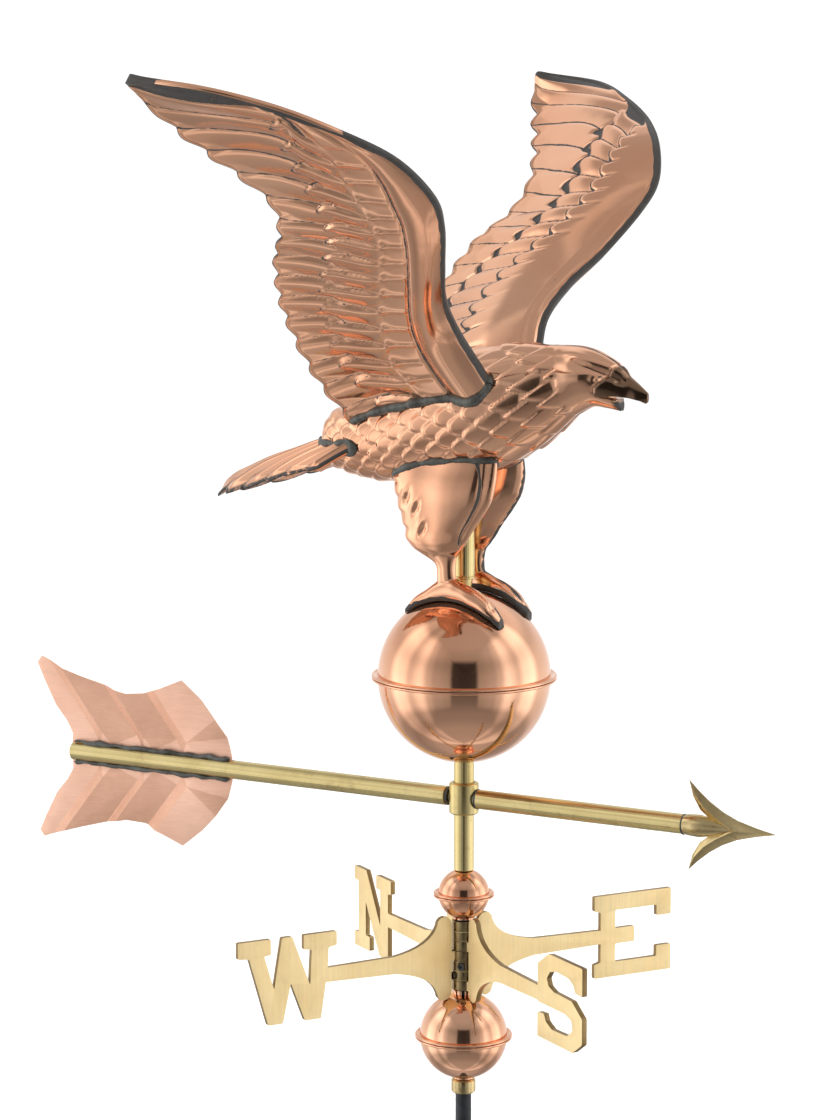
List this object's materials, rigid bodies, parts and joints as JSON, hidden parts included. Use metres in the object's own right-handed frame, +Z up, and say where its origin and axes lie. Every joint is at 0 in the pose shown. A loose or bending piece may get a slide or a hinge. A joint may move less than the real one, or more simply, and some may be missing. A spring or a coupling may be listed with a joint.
{
  "type": "weather vane",
  "caption": "Rod-mounted weather vane: a copper eagle on a ball over a turning arrow, above fixed compass letters and spacer globes.",
  "frame": {"origin": "centre of the mounting rod's flat bottom face", "axes": "+Z up along the rod; +X the way the arrow and the eagle point at rest; +Y to the eagle's left"},
  "size_m": [0.508, 0.47, 0.654],
  "materials": {
    "rod_steel": "satin black",
    "screw_steel": "plain",
    "brass_tube": "satin polished",
    "brass_cast": "polished casting",
    "brass_letter": "brushed",
    "copper_polished": "polished copper",
    "copper_eagle": "polished pressed copper with dark seams",
    "copper_satin": "satin copper sheet"
  },
  "bodies": {
    "mast": {"mounting_rod": "rod_steel", "set_collar": "brass_cast", "set_collar_screw": "screw_steel", "lower_globe_bottom": "copper_polished", "lower_globe_top": "copper_polished", "direction_east": "brass_letter", "direction_north": "brass_letter", "direction_west": "brass_letter", "direction_south": "brass_letter", "direction_screw_east": "screw_steel", "direction_screw_north": "screw_steel", "direction_screw_west": "screw_steel", "direction_screw_south": "screw_steel", "upper_globe_bottom": "copper_polished", "upper_globe_top": "copper_polished"},
    "vane": {"spindle_tube": "brass_tube", "thrust_ball": "screw_steel", "spigot": "brass_tube", "eagle_post": "brass_tube", "arrow_hub": "brass_tube", "arrow_shaft_rear": "brass_tube", "arrow_shaft_front": "brass_tube", "arrow_head": "brass_cast", "arrow_tail": "copper_satin", "ball_bottom": "copper_polished", "ball_top": "copper_polished", "body_right": "copper_eagle", "body_left": "copper_eagle", "wing_right_outer": "copper_eagle", "wing_right_inner": "copper_eagle", "wing_left_outer": "copper_eagle", "wing_left_inner": "copper_eagle", "tail_top": "copper_eagle", "tail_bottom": "copper_eagle", "leg_right_outer": "copper_eagle", "leg_right_inner": "copper_eagle", "leg_left_outer": "copper_eagle", "leg_left_inner": "copper_eagle"}
  },
  "joints": [
    {"name": "vane_yaw", "type": "hinge", "parent": "mast", "child": "vane", "pos_m": [0, 0, 0.3], "axis": [0, 0, 1], "continuous": true}
  ]
}
